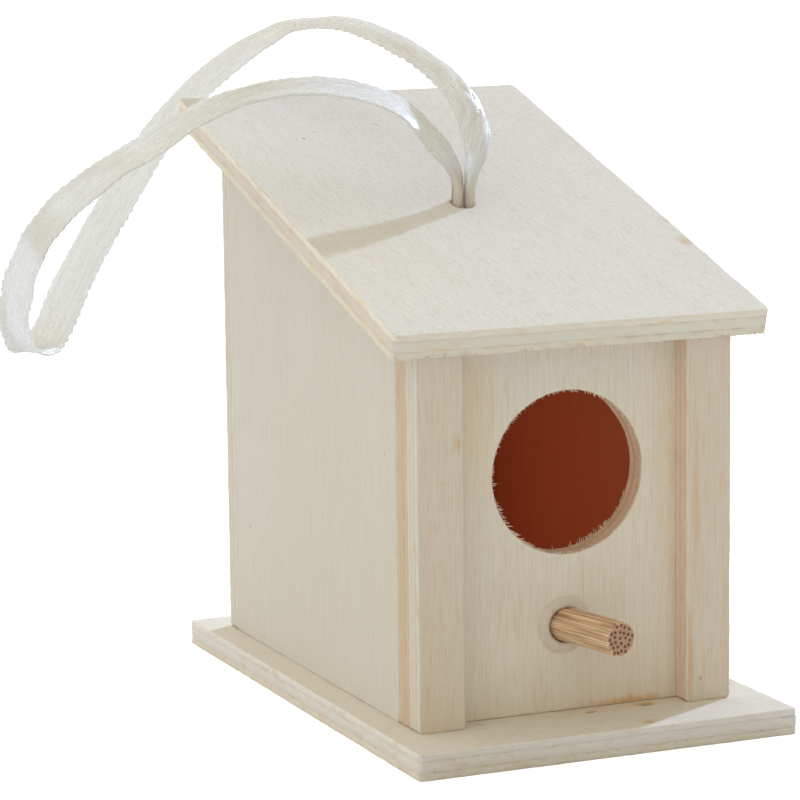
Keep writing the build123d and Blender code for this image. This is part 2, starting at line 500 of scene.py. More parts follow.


# %% [markdown]
# ## Satin
# Satin is many parallel shiny threads, so its highlight breaks into fine bright dashes along
# the ribbon. The pattern follows the ribbon's own across and along distances. Threads raise a
# bump, small weft dashes cross it, and the lowest few millimetres are stained by amber glue,
# made light as painted light that shines through the ribbon there.


# %% Satin material
def make_satin():
    """White satin threads, with amber glue at the hole, lightened as painted light through the ribbon.
    """
    material, tree, shader = new_material("white_satin")
    place = add(tree, "ShaderNodeAttribute", attribute_name="ribbon_place").outputs["Vector"]
    threads = stretched_noise(tree, place, (7.0, 0.12, 1.0), 4.0, 0.65)
    dashes = stretched_noise(tree, place, (5.0, 1.1, 1.0), 2.0, 0.5)
    tone = stretched_noise(tree, place, (0.5, 0.08, 1.0), 2.0)
    lines = ramp(tree, threads, 0.36, 0.64)
    colour = blend(tree, lines, (0.73, 0.715, 0.665, 1), (0.965, 0.95, 0.895, 1))
    colour = blend(tree, calculate(tree, "MULTIPLY", tone, 0.3), colour, (0.90, 0.86, 0.75, 1))
    height = add(tree, "ShaderNodeSeparateXYZ", {0: place}).outputs["Y"]
    from_end = calculate(tree, "PINGPONG", height, ribbon_length / MM / 2)
    # Amber glue, lightened as painted light that shines through the shaded ribbon at the hole
    glue_stain_and_glow = ramp(tree, calculate(tree, "ADD", from_end, threads), 8.2, 4.6)
    glue_stain_and_glow = calculate(tree, "MULTIPLY", glue_stain_and_glow, 0.92)
    colour = blend(tree, glue_stain_and_glow, colour, (1.0, 0.80, 0.55, 1))
    relief = calculate(tree, "ADD", threads, calculate(tree, "MULTIPLY", dashes, 0.8))
    settings = {
        "Roughness": calculate(tree, "MULTIPLY_ADD", dashes, 0.3, 0.1),
        "Specular IOR Level": 0.9,
        "Sheen Weight": 0.15,
        "Subsurface Weight": 0.75,
        "Subsurface Radius": (1.0, 1.0, 0.9),
        "Subsurface Scale": 0.002,
    }
    finish_surface(tree, shader, colour, (relief, 0.8, 0.0003), settings)
    return material


satin = make_satin()
ribbon = sweep_ribbon("satin_ribbon", ribbon_path, satin)
print("ribbon", len(ribbon.data.polygons), "faces")

# %% [markdown]
# ## The knot under the roof
# The two ends are tied below the roof, so the ribbon can't pull out. The knot is an overhand
# knot drawn up tight. A trefoil curve is the line of an overhand knot, so one formula gives its
# route, and a flattened ridged section is swept along it.

# %% Knot
knot_turns = 150
knot_ring = 20
knot_thick = 1.05
knot_half_height = 1.15
knot_flat = 0.82


def knot_line(turn):
    """A point of a trefoil, in a unit cube."""
    across = sin(turn) + 2 * sin(2 * turn)
    deep = cos(turn) - 2 * cos(2 * turn)
    return Vector((across / 3, deep / 3, -sin(3 * turn)))


def tie_knot(name, material):
    """A tight overhand knot that fills the frame's knot."""
    tilt = Matrix.Rotation(slope, 3, "X")
    middle = (knot_low + knot_high) / 2
    reach = (knot_high.x - knot_low.x) / 2 - knot_thick
    size = Vector((reach, reach, knot_half_height))
    points, marks = [], []
    for row in range(knot_turns):
        turn = 2 * pi * row / knot_turns
        centre = Vector([a * b for a, b in zip(knot_line(turn), size)])
        ahead = Vector([a * b for a, b in zip(knot_line(turn + 0.01), size)])
        forward = (ahead - centre).normalized()
        sideways = forward.cross(Vector((0.0, 0.0, 1.0))).normalized()
        lift = sideways.cross(forward)
        for column in range(knot_ring):
            angle = 2 * pi * column / knot_ring
            ridge = 1 + 0.07 * sin(5 * angle + 2 * turn)
            aside = knot_thick * ridge * cos(angle)
            rise = knot_flat * knot_thick * ridge * sin(angle)
            points.append(middle + tilt @ (centre + sideways * aside + lift * rise))
            marks.append((angle * knot_thick, 90 + row * 0.1, 0.0))
    piece = new_mesh(name, points, ring_faces(knot_turns, knot_ring, closed=True), [material])
    store_places(piece, "ribbon_place", marks)
    return piece


knot = tie_knot("tied_knot", satin)
print("knot", len(knot.data.polygons), "faces")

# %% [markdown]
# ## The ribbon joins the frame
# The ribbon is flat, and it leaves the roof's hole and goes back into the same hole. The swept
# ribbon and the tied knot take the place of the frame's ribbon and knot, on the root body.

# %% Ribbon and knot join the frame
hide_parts("hanging_ribbon")
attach(ribbon, "root")
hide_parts("ribbon_knot")
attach(knot, "root")

# %% [markdown]
# ## Veneer
# The boards are thin peeled plywood of a pale, soft wood. Its face shows short fine pores
# along the grain, faint streaks, slow changes of tone and a few rusty flecks. The same pattern
# serves every board, so it is one node group, and each board gives it its own colours, place
# and grain direction. The group's Y axis runs along the grain, in millimetres.


# %% Veneer group
def make_veneer_group():
    """Grain, pores and flecks of a peeled veneer face."""
    tree, given, result = new_group(
        "veneer",
        [
            ("Place", "Vector", None),
            ("Pale", "Color", (0.8, 0.75, 0.65, 1)),
            ("Deep", "Color", (0.7, 0.6, 0.45, 1)),
            ("Streaks", "Float", 0.5),
            ("Threads", "Float", 0.5),
            ("Pores", "Float", 0.5),
            ("Flecks", "Float", 0.5),
        ],
        [("Color", "Color"), ("Height", "Float")],
    )
    place = given["Place"]
    slow = stretched_noise(tree, place, (0.10, 0.025, 0.10), 2.0)
    bands = stretched_noise(tree, place, (0.55, 0.018, 0.55), 3.0)
    threads = stretched_noise(tree, place, (3.2, 0.07, 3.2), 3.0, 0.6)
    strokes = stretched_noise(tree, place, (5.2, 0.9, 5.2), 2.0, 0.6)
    pore = scattered(tree, place, (3.6, 0.62, 3.6), (0.34, 0.12), (0.15, 0.5))
    speck = scattered(tree, place, (0.16, 0.12, 0.16), (0.045, 0.02), (0.45, 0.5))
    orange = scattered(tree, place, (0.33, 0.30, 0.33), (0.09, 0.03), (0.55, 0.65))
    tone = calculate(tree, "MULTIPLY_ADD", bands, 0.7, calculate(tree, "MULTIPLY", slow, 0.6))
    tone = calculate(tree, "MULTIPLY", ramp(tree, tone, 0.45, 0.9), given["Streaks"])
    line = calculate(tree, "MULTIPLY", ramp(tree, threads, 0.42, 0.72), given["Streaks"])
    colour = blend(tree, calculate(tree, "MAXIMUM", tone, line), given["Pale"], given["Deep"])
    fine = stretched_noise(tree, place, (8.5, 0.22, 8.5), 3.0, 0.6)
    fine_line = calculate(tree, "MULTIPLY", ramp(tree, fine, 0.48, 0.66), given["Threads"])
    colour = tint(tree, fine_line, colour, (0.91, 0.85, 0.75))
    dark = calculate(tree, "MAXIMUM", pore, ramp(tree, strokes, 0.54, 0.72))
    dark = calculate(tree, "MULTIPLY", dark, given["Pores"])
    colour = tint(tree, dark, colour, (0.84, 0.79, 0.71))
    rust = calculate(tree, "MULTIPLY", orange, given["Flecks"])
    colour = tint(tree, rust, colour, (0.98, 0.80, 0.58))
    spot = calculate(tree, "MULTIPLY", speck, given["Flecks"])
    colour = blend(tree, spot, colour, (0.36, 0.20, 0.09, 1))
    tree.links.new(colour, result["Color"])
    height = calculate(tree, "MULTIPLY", calculate(tree, "ADD", strokes, pore), given["Pores"])
    lines = calculate(tree, "MULTIPLY", fine, given["Threads"])
    height = calculate(tree, "SUBTRACT", 1.0, calculate(tree, "MULTIPLY_ADD", lines, 0.6, height))
    tree.links.new(height, result["Height"])
    return tree


def scattered(tree, place, stretch, reach, chances):
    """1 at scattered spots: reach is their outer and inner size, chances how many show."""
    distance, chance = stretched_cells(tree, place, stretch)
    chance = add(tree, "ShaderNodeSeparateColor", {0: chance}).outputs[0]
    return calculate(tree, "MULTIPLY", ramp(tree, distance, *reach), ramp(tree, chance, *chances))


veneer_group = make_veneer_group()
print("group", veneer_group.name, len(veneer_group.nodes), "nodes")

# %% [markdown]
# ## The warm inside
# Seen through the entrance, the inside glows a deep red brown. Raw wood is warm, and light that
# bounces many times in a closed box takes on more of its colour at each bounce. A renderer
# stops after a few bounces, so that bounce light is painted: the wood that faces the cavity is
# given a warmer colour. A mask is 1 inside the cavity's box, so the outside of the same boards
# stays pale.

# %% Cavity group
cavity_low = Vector((wall_high.x - 0.2, panel_high.y - 0.05, house_bottom - 0.2))
cavity_high = Vector((right_wall_low.x + 0.2, back_low.y + 0.2, wall_high.z + 2.0))


def make_cavity_group():
    """1 where a point, in millimetres, lies inside the house's cavity."""
    tree, given, result = new_group(
        "cavity",
        [
            ("Place", "Vector", None),
            ("Low", "Vector", tuple(cavity_low)),
            ("High", "Vector", tuple(cavity_high)),
        ],
        [("Inside", "Float")],
    )
    place = add(tree, "ShaderNodeSeparateXYZ", {0: given["Place"]}).outputs
    low = add(tree, "ShaderNodeSeparateXYZ", {0: given["Low"]}).outputs
    high = add(tree, "ShaderNodeSeparateXYZ", {0: given["High"]}).outputs
    inside = None
    for axis in range(3):
        above = calculate(tree, "GREATER_THAN", place[axis], low[axis])
        below = calculate(tree, "LESS_THAN", place[axis], high[axis])
        both = calculate(tree, "MULTIPLY", above, below)
        inside = both if inside is None else calculate(tree, "MULTIPLY", inside, both)
    tree.links.new(inside, result["Inside"])
    return tree


cavity_group = make_cavity_group()
# Painted red brown bounce light, multiplied into the faces inside the cavity
painted_bounce_glow = (0.72, 0.27, 0.14)


def board_place(tree, turn=(0.0, 0.0, 0.0), shift=(0.0, 0.0, 0.0)):
    """A board's place in millimetres, turned and moved so that its Y runs along the grain."""
    place = add(tree, "ShaderNodeTexCoord").outputs["Object"]
    inputs = {"Vector": place, "Location": shift, "Rotation": turn, "Scale": (1 / MM,) * 3}
    return add(tree, "ShaderNodeMapping", inputs).outputs[0]


def group_node(tree, group, inputs):
    """A node that uses a shader group."""
    return add(tree, "ShaderNodeGroup", inputs, node_tree=group)


def make_blotch_group():
    """A soft, ragged patch round a centre, for stains, warm zones and painted warm shade."""
    tree, given, result = new_group(
        "blotch",
        [
            ("Place", "Vector", None),
            ("Centre", "Vector", (0.0, 0.0, 0.0)),
            ("Reach", "Vector", (1.0, 1.0, 1.0)),
        ],
        [("Mask", "Float")],
    )
    away = vectors(tree, "SUBTRACT", given["Place"], given["Centre"])[0]
    away = vectors(tree, "DIVIDE", away, given["Reach"])[0]
    away = vectors(tree, "LENGTH", away)["Value"]
    ragged = stretched_noise(tree, given["Place"], (1.3, 1.3, 0.35), 4.0, 0.65)
    away = calculate(tree, "MULTIPLY_ADD", ragged, 1.3, calculate(tree, "SUBTRACT", away, 0.65))
    tree.links.new(ramp(tree, away, 1.0, 0.15), result["Mask"])
    return tree


blotch_group = make_blotch_group()
print("groups", cavity_group.name, "and", blotch_group.name)


# %% Veneer materials
def make_veneer(name, look, turn, shift, meets_cavity=True, patches=()):
    """A board's face: veneer and its patches, with painted red brown bounce light where it faces the
    cavity.
    """
    material, tree, shader = new_material(name)
    pale, deep, streaks, threads, pores, flecks = look
    inputs = {
        "Place": board_place(tree, turn, shift), "Pale": (*pale, 1), "Deep": (*deep, 1),
        "Streaks": streaks, "Threads": threads, "Pores": pores, "Flecks": flecks,
    }
    face = group_node(tree, veneer_group, inputs)
    colour = face.outputs["Color"]
    # Each patch tints the face; on the front panel and the base some patches are painted warm shade.
    for centre, reach, shade in patches:
        inputs = {"Place": board_place(tree), "Centre": centre, "Reach": reach}
        mask = group_node(tree, blotch_group, inputs).outputs[0]
        colour = tint(tree, mask, colour, shade)
    # Painted bounce light on the faces inside the cavity
    if meets_cavity:
        inside = group_node(tree, cavity_group, {"Place": board_place(tree)}).outputs[0]
        colour = tint(tree, inside, colour, painted_bounce_glow)
    settings = {"Roughness": 0.72, "Specular IOR Level": 0.3}
    finish_surface(tree, shader, colour, (face.outputs["Height"], 0.6, 0.00016), settings)
    return material


# %% [markdown]
# ## Ply edges
# Each board is three sheets of veneer glued with their grain crossed. On a sawn edge the middle
# ply is end grain where the outer plies run lengthwise, and the other way round on the next
# edge. The pattern follows how far along the edge and how deep in the board a point is. Depth
# picks the ply, a wavy line of dark glue parts the plies, and fibres run along or across.


# %% Ply edge group
def make_ply_group():
    """Colours of three plies and their glue lines, by distance along and depth."""
    tree, given, result = new_group(
        "ply_edge",
        [
            ("Place", "Vector", None),
            ("Outer", "Color", (0.8, 0.74, 0.6, 1)),
            ("Front core", "Color", (0.7, 0.6, 0.5, 1)),
            ("Side core", "Color", (0.7, 0.55, 0.4, 1)),
            ("Inner", "Color", (0.75, 0.7, 0.6, 1)),
            ("Glue", "Float", 0.4),
            ("Rough", "Float", 0.5),
        ],
        [("Color", "Color"), ("Height", "Float")],
    )
    place = given["Place"]
    parts = add(tree, "ShaderNodeSeparateXYZ", {0: place}).outputs
    depth = parts["Y"]
    wave = stretched_noise(tree, place, (0.35, 0.2, 1.0), 3.0)
    level = calculate(tree, "MULTIPLY_ADD", wave, 0.35, calculate(tree, "SUBTRACT", depth, 0.17))
    core = ramp(tree, level, 0.62, 1.0)
    inner = ramp(tree, level, 1.88, 2.26)
    fibres = stretched_noise(tree, place, (0.5, 11.0, 1.0), 4.0, 0.65)
    pits = stretched_noise(tree, place, (6.0, 7.0, 1.0), 3.0, 0.7)
    blots = stretched_noise(tree, place, (0.28, 0.9, 1.0), 3.0, 0.6)
    middle = blend(tree, parts["Z"], given["Front core"], given["Side core"])
    colour = blend(tree, core, given["Outer"], middle)
    colour = blend(tree, inner, colour, given["Inner"])
    tone = calculate(tree, "MULTIPLY", ramp(tree, fibres, 0.5, 0.75), given["Rough"])
    colour = tint(tree, tone, colour, (0.90, 0.83, 0.73))
    tone = calculate(tree, "MULTIPLY", ramp(tree, blots, 0.52, 0.7), given["Rough"])
    colour = tint(tree, tone, colour, (0.94, 0.82, 0.70))
    for glue_level in (0.8, 2.07):
        away = calculate(tree, "ABSOLUTE", calculate(tree, "SUBTRACT", level, glue_level))
        line = calculate(tree, "MULTIPLY", ramp(tree, away, 0.16, 0.02), given["Glue"])
        colour = tint(tree, line, colour, (0.78, 0.69, 0.58))
    tree.links.new(colour, result["Color"])
    height = calculate(tree, "MULTIPLY_ADD", pits, 0.6, fibres)
    tree.links.new(height, result["Height"])
    return tree


ply_group = make_ply_group()
print("group", ply_group.name, len(ply_group.nodes), "nodes")


# %% Ply edge materials
def make_ply_edge(name, look):
    """A board's sawn edge, which reads its place from the board's own attribute."""
    material, tree, shader = new_material(name)
    outer, front_core, side_core, inner, glue, rough = look
    place = add(tree, "ShaderNodeAttribute", attribute_name="ply_place").outputs["Vector"]
    inputs = {
        "Place": place, "Outer": (*outer, 1), "Inner": (*inner, 1), "Glue": glue, "Rough": rough,
        "Front core": (*front_core, 1), "Side core": (*side_core, 1),
    }
    edge = group_node(tree, ply_group, inputs).outputs
    settings = {"Roughness": 0.8, "Specular IOR Level": 0.25}
    finish_surface(tree, shader, edge["Color"], (edge["Height"], 0.5, 0.0002), settings)
    return material


# %% [markdown]
# ## Cutting a board
# A sawn board isn't a perfect block. Its arrises are a little worn, its outline wavers by a
# few hundredths of a millimetre, each ply stands slightly proud or back, and the glue lines
# are fine grooves. A board is drawn as closed loops round its outline and its holes. Each loop
# is repeated at several depths, moved in or out by noise, and the two faces are filled with a
# Delaunay mesh, so that they can bow a little too.


# %% Sizes of the cut
outline_step = 0.4  # between points along an edge
fill_step = 3.0  # between points inside a face
fill_gap = 0.8  # from those points to the edge
glue_shares = (0.27, 0.69)  # of a board's thickness, where its two glue lines lie
hole_apart, board_apart = 300.0, 40.0  # along the ply pattern, so that no two edges are alike
# How ragged the saw left each outline
base_ragged, roof_ragged, wall_ragged = 0.16, 0.22, 0.1
# Where each board's own noise starts, so that no two boards are alike
base_seed, roof_seed, left_seed, right_seed, back_seed, front_seed = 1.0, 2.0, 3.0, 4.0, 5.0, 6.0
strip_seed = 7.0


# %% Outlines
def rounded_outline(corners, radius, step=outline_step):
    """A closed outline round the corners, anticlockwise, with points about a step apart."""
    corners = [Vector(corner) for corner in corners]
    points = []
    for index, corner in enumerate(corners):
        to_before = (corners[index - 1] - corner).normalized()
        after = corners[(index + 1) % len(corners)]
        to_after = (after - corner).normalized()
        half = to_before.angle(to_after) / 2
        centre = corner + (to_before + to_after).normalized() * radius / sin(half)
        reach = radius / tan(half)
        start, end = corner + to_before * reach, corner + to_after * reach
        turns = max(4, ceil(pi / 2 * radius / step))
        for turn in range(turns + 1):
            toward = (start - centre).lerp(end - centre, turn / turns)
            points.append(centre + toward.normalized() * radius)
        before_next = corners[(index + 2) % len(corners)] - after
        half_next = (corner - after).angle(before_next) / 2
        run = (after - corner).length - reach - radius / tan(half_next)
        for stop in range(1, ceil(run / step)):
            points.append(end + to_after * stop * run / ceil(run / step))
    return points


def round_hole(centre, radius, step):
    """A closed round loop, clockwise."""
    count = ceil(2 * pi * radius / step)
    return [
        Vector((centre[0] + radius * cos(turn), centre[1] + radius * sin(turn)))
        for turn in (-2 * pi * index / count for index in range(count))
    ]


def edge_rows(thickness):
    """Depth and inset of each loop: soft arrises, three plies and a groove at each glue line."""
    outer = [(0.0, 0.26), (0.0, 0.12), (0.05, 0.04), (0.15, 0.0)]
    middle = []
    for glue_depth in (share * thickness for share in glue_shares):
        middle += [(glue_depth - 0.1, 0.01), (glue_depth, 0.07), (glue_depth + 0.1, 0.01)]
    middle.insert(3, (thickness * 0.48, 0.02))
    inner = [(thickness - depth, inset) for depth, inset in reversed(outer)]
    return outer + middle + inner


def ply_of(depth, thickness):
    """0, 1 or 2 for the outer, middle and inner ply."""
    return sum(depth > share * thickness for share in glue_shares)


# %% A board's loops
def cut_loop(loop, depth, inset, thickness, ragged, seed):
    """A loop moved into the wood by its inset and by the saw's and fibres' roughness."""
    moved = []
    ply = ply_of(depth, thickness)
    for index, point in enumerate(loop):
        along = loop[(index + 1) % len(loop)] - loop[index - 1]
        outward = Vector((along.y, -along.x)).normalized()
        spot = Vector((point.x * 0.45, point.y * 0.45, seed + 3.7 * ply))
        waver = noise.noise(spot) + 0.5 * noise.noise(spot * 4.1)
        fine = noise.noise(Vector((point.x * 4.5, point.y * 4.5, seed + 2.2 * depth)))
        calm = 0.2 if inset > 0.2 else 1.0
        shift = inset + ragged * calm * (0.5 * waver + 0.45 * fine)
        moved.append(point - outward * shift)
    return moved


# %% Filling a face
def fill_face(loops, holes, spacing=fill_step):
    """Triangles that fill the first loop but not the holes, with some points between."""
    points, sides = [], []
    for loop in loops:
        first = len(points)
        points += loop
        sides += [(first + i, first + (i + 1) % len(loop)) for i in range(len(loop))]
    rim = len(points)
    low = [min(point[axis] for point in loops[0]) for axis in (0, 1)]
    high = [max(point[axis] for point in loops[0]) for axis in (0, 1)]
    for column in range(floor((high[0] - low[0]) / spacing)):
        for row in range(floor((high[1] - low[1]) / spacing)):
            spot = Vector((low[0] + (column + 0.5) * spacing, low[1] + (row + 0.5) * spacing))
            near_edge = min((spot - point).length for point in points[:rim]) <= fill_gap
            if in_loop(spot, loops[0]) and not near_edge:
                if all((spot - Vector(hole)).length > reach + fill_gap for hole, reach in holes):
                    points.append(spot)
    made, _, faces, origins, _, _ = delaunay_2d_cdt(points, sides, [], 1, 1e-6)
    kept = []
    for face in faces:
        middle = sum((made[i] for i in face), Vector((0.0, 0.0))) / 3
        if all((middle - Vector(centre)).length > reach for centre, reach in holes):
            kept.append(tuple(origins[i][0] for i in face))
    return points[rim:], kept


def in_loop(spot, loop):
    """Whether a spot lies inside a closed loop."""
    inside = False
    for start, end in zip(loop, loop[1:] + loop[:1]):
        if (start.y > spot.y) != (end.y > spot.y):
            crossing = start.x + (spot.y - start.y) * (end.x - start.x) / (end.y - start.y)
            inside = inside != (crossing > spot.x)
    return inside


# %% Boards
def cut_board(name, outline, holes, place, materials, ragged, seed, thickness=board):
    """A plywood board. place turns an outline point and a depth into a place in the frame."""
    loops = [outline] + [round_hole(centre, radius, outline_step) for centre, radius in holes]
    rows = edge_rows(thickness)
    points, starts, flat = [], [], []
    for depth, inset in rows:
        row_loops = [cut_loop(loop, depth, inset, thickness, ragged, seed) for loop in loops]
        flat.append(row_loops)
        starts.append([])
        for loop in row_loops:
            starts[-1].append(len(points))
            points += [place(spot.x, spot.y, depth) for spot in loop]
    faces, numbers, corners = [], [], []
    for row in range(len(rows) - 1):
        on_edge = rows[row][0] != rows[row + 1][0]
        number = 1 if on_edge else (0 if row == 0 else 2)
        for hole, loop in enumerate(loops):
            along = 0.0
            for index in range(len(loop)):
                after = (index + 1) % len(loop)
                first, second = starts[row][hole], starts[row + 1][hole]
                faces.append((first + index, second + index, second + after, first + after))
                numbers.append(number)
                ahead = along + (loop[after] - loop[index]).length
                above, below = rows[row][0], rows[row + 1][0]
                side = hole_apart * hole + board_apart * seed
                turned = abs((loop[after] - loop[index]).normalized().y)
                corners += [(side + along, above, turned), (side + along, below, turned)]
                corners += [(side + ahead, below, turned), (side + ahead, above, turned)]
                along = ahead
    widest_inset = 0.3
    grown = [(centre, radius + widest_inset) for centre, radius in holes]
    rim_count = sum(len(loop) for loop in loops)
    for row, depth, number in ((0, 0.0, 0), (len(rows) - 1, thickness, 2)):
        extra, triangles = fill_face(flat[row], grown)
        rim = starts[row][0]
        added = len(points)
        points += [place(spot.x, spot.y, depth) for spot in extra]
        for triangle in triangles:
            ordered = triangle if number == 0 else triangle[::-1]
            faces.append(tuple(rim + i if i < rim_count else added + i - rim_count for i in ordered))
            numbers.append(number)
            corners += [(0.0, depth, 0.0)] * 3
    piece = new_mesh(name, points, faces, materials, numbers)
    store_places(piece, "ply_place", corners, "CORNER")
    return piece


def warp(first, second, seed, amount=0.05):
    """How far a board bows at a place on its face."""
    return amount * noise.noise(Vector((first * 0.05, second * 0.05, seed)))


# %% [markdown]
# ## Colours of the boards
# The pieces were cut from different sheets. The roof and the walls are the greyest, the front
# panel is warm, the trim strips are streaky and a little pink, and their sawn edges differ too:
# the roof's core is pink on the sides, and yellow green in front.

# %% Board looks
# Pale, deep, streaks, threads, pores, flecks
roof_look = ((0.785, 0.758, 0.717), (0.745, 0.70, 0.63), 0.5, 0.3, 0.55, 0.8)
base_look = ((0.775, 0.735, 0.66), (0.74, 0.665, 0.54), 0.35, 0.25, 0.5, 0.9)
panel_look = ((0.86, 0.80, 0.69), (0.82, 0.72, 0.58), 0.6, 0.75, 0.2, 0.5)
wall_look = ((0.73, 0.70, 0.625), (0.71, 0.655, 0.565), 0.4, 0.5, 0.12, 0.4)
strip_look = ((0.79, 0.715, 0.60), (0.78, 0.645, 0.49), 0.8, 0.8, 0.2, 0.5)
# Outer ply, core at the front, core at the sides, inner ply, glue line, roughness
side_edge = (
    (0.80, 0.77, 0.68), (0.80, 0.72, 0.60), (0.79, 0.72, 0.63), (0.80, 0.76, 0.68), 0.25, 0.6,
)
# The front board's edges, the entrance's rim most of all, are pink brown: partly the wood's own colour,
# partly painted red bounce light from the inside.
front_edge = (
    (0.76, 0.61, 0.455), (0.74, 0.565, 0.405), (0.74, 0.57, 0.41), (0.74, 0.60, 0.45), 0.06, 0.5,
)
right_strip_edge = (
    (0.88, 0.76, 0.61), (0.86, 0.71, 0.55), (0.88, 0.68, 0.52), (0.86, 0.73, 0.59), 0.2, 0.6,
)
roof_edge = (
    (0.95, 0.89, 0.76), (0.89, 0.85, 0.72), (0.84, 0.75, 0.66), (0.88, 0.82, 0.67), 0.25, 0.6,
)
base_edge = (
    (0.88, 0.86, 0.80), (0.86, 0.83, 0.76), (0.85, 0.82, 0.77), (0.84, 0.78, 0.67), 0.2, 0.7,
)
# Stains, warm zones and painted warm shade: centre, reach, tint
roof_patches = (
    ((22.4, -11.6, 54.0), (1.4, 2.0, 2.0), (0.86, 0.76, 0.62)),
    ((23.0, -5.6, 55.9), (0.8, 1.3, 1.3), (0.90, 0.82, 0.70)),
    ((-20.0, -4.0, 56.0), (16.0, 34.0, 16.0), (1.0, 0.99, 0.94)),
)
base_stains_and_shade = (
    # The first is painted warm shade along the foot of the house's front; the other two are stains.
    ((5.0, -27.0, 3.0), (16.0, 3.0, 3.0), (1.0, 0.94, 0.85)),
    ((8.6, -27.1, 3.0), (2.2, 0.9, 1.5), (0.95, 0.76, 0.52)),
    ((5.8, -34.0, 3.0), (1.8, 1.0, 1.5), (0.96, 0.80, 0.58)),
)
front_stains_and_shade = (
    # The first three are painted warm shade beside the trim strips and under the roof; the last is a
    # stained band along the panel's foot.
    ((15.0, -25.8, 30.0), (5.0, 4.0, 20.0), (1.0, 0.93, 0.84)),
    ((-12.0, -25.8, 38.0), (4.0, 4.0, 12.0), (1.0, 0.94, 0.85)),
    ((3.0, -25.8, 47.0), (15.0, 4.0, 4.0), (1.0, 0.94, 0.84)),
    ((7.0, -25.8, 3.2), (7.0, 2.0, 0.9), (0.90, 0.66, 0.44)),
)
right_strip_patches = (
    ((13.8, -28.6, 9.0), (0.9, 1.5, 8.0), (0.97, 0.80, 0.66)),
    ((14.6, -28.6, 26.0), (0.6, 1.5, 14.0), (0.98, 0.87, 0.77)),
)
left_strip_patches = (((-15.0, -28.6, 35.3), (1.0, 1.5, 1.7), (0.93, 0.82, 0.66)),)
upright_grain = (-pi / 2, 0.0, 0.0)
roof_grain = (-slope, 0.0, radians(-9))
base_grain = (0.0, 0.0, pi / 2)


def look_materials(name, look, edge, grain, shift, patches=()):
    """The outer face, edge and inner face materials of one board."""
    return [
        make_veneer(f"{name}_veneer", look, grain, shift, name == "base", patches),
        make_ply_edge(f"{name}_edge", edge),
        make_veneer(f"{name}_inner", look, grain, shift),
    ]


# %% [markdown]
# ## The base and the roof
# The base is a rounded rectangle. The roof is drawn flat and laid on the slope, with the small
# hole for the ribbon.

# %% Base
base_corner = 0.6
base_warp = 0.03


def place_base(x, y, depth):
    """The base lies flat, with its outer face up."""
    return Vector((x, y, base_high.z - depth - warp(x, y, base_seed, base_warp)))


base_outline = rounded_outline(square_corners(base_low, base_high), base_corner)
base_materials = look_materials(
    "base", base_look, base_edge, base_grain, (11, 5, 0), base_stains_and_shade
)
base = cut_board(
    "base_board", base_outline, [], place_base, base_materials, base_ragged, base_seed
)
print("base", len(base.data.polygons), "faces")

# %% Roof
ribbon_hole_radius = 1.42
hole_middle = (Vector(route_points[0]) + Vector(route_points[-1])) / 2 / MM
ribbon_hole = (hole_middle.x, (hole_middle.y - roof_start.y) / cos(slope))
worn_corner = 0.4
roof_corner = 0.8


def place_roof(x, along, depth):
    """The roof lies on the slope, with its outer face up."""
    height = board - depth - warp(x, along, roof_seed)
    y = along * cos(slope) - height * sin(slope)
    return roof_start + Vector((x, y, along * sin(slope) + height * cos(slope)))


roof_outline = rounded_outline(
    square_corners((roof_low.x, 0.0), (roof_high.x, roof_length)), roof_corner
)
roof_materials = look_materials(
    "roof", roof_look, roof_edge, roof_grain, (3, 17, 0), roof_patches
)
roof = cut_board(
    "roof_board",
    roof_outline,
    [(ribbon_hole, ribbon_hole_radius)],
    place_roof,
    roof_materials,
    roof_ragged,
    roof_seed,
)
print("roof", len(roof.data.polygons), "faces")

# %% [markdown]
# ## The walls, panels and strips
# The side walls are cut to the slope, so their outline has a slanting top. The front, back and
# strips are square in outline, but their top is planed to the slope, so each height is
# stretched to meet the roof at its own depth.


# %% Side walls
def side_outline(first_low, first_high, turned):
    """An outline in distance along the wall and height, with the roof's slope on top."""
    ends = sorted((turned * first_low, turned * first_high))
    corners = [(ends[0], house_bottom), (ends[1], house_bottom)]
    corners += [(end, underside_of_roof(turned * end)) for end in reversed(ends)]
    return rounded_outline(corners, worn_corner)


def place_left_wall(along, z, depth):
    """The left wall faces -X."""
    return Vector((wall_low.x + depth + warp(along, z, left_seed), -along, z))


def place_right_wall(along, z, depth):
    """The right wall faces +X."""
    return Vector((right_wall_high.x - depth - warp(along, z, right_seed), along, z))


left_materials = look_materials("left_wall", wall_look, side_edge, upright_grain, (0, 31, 40))
left_wall = cut_board(
    "left_side", side_outline(wall_low.y, wall_high.y, -1), [], place_left_wall,
    left_materials, wall_ragged, left_seed,
)
right_materials = look_materials("right_wall", wall_look, side_edge, upright_grain, (0, 77, 90))
right_wall = cut_board(
    "right_side", side_outline(right_wall_low.y, right_wall_high.y, 1), [], place_right_wall,
    right_materials, wall_ragged, right_seed,
)
print("walls", len(left_wall.data.polygons), len(right_wall.data.polygons), "faces")


# %% Outline and place of the upright boards
def upright_outline(low, high, turned=1):
    """A square outline, as tall as the board's lower side."""
    ends = sorted((turned * low.x, turned * high.x))
    top = underside_of_roof(low.y)
    return rounded_outline(square_corners((ends[0], house_bottom), (ends[1], top)), worn_corner)


# Distances below a board's top where its slant starts and where it is full
slant_reach, slant_full = 10.0, 4.0


def facing_front(low, seed):
    """A function that places the points of a board whose outer face looks to -Y."""
    top = underside_of_roof(low.y)

    def place(x, z, depth):
        y = low.y + depth + warp(x, z, seed)
        rise = (underside_of_roof(y) - house_bottom) / (top - house_bottom)
        share = min(1.0, max(0.0, (z - top + slant_reach) / (slant_reach - slant_full)))
        stretch = 1 + (rise - 1) * share
        return Vector((x, y, house_bottom + (z - house_bottom) * stretch))

    return place


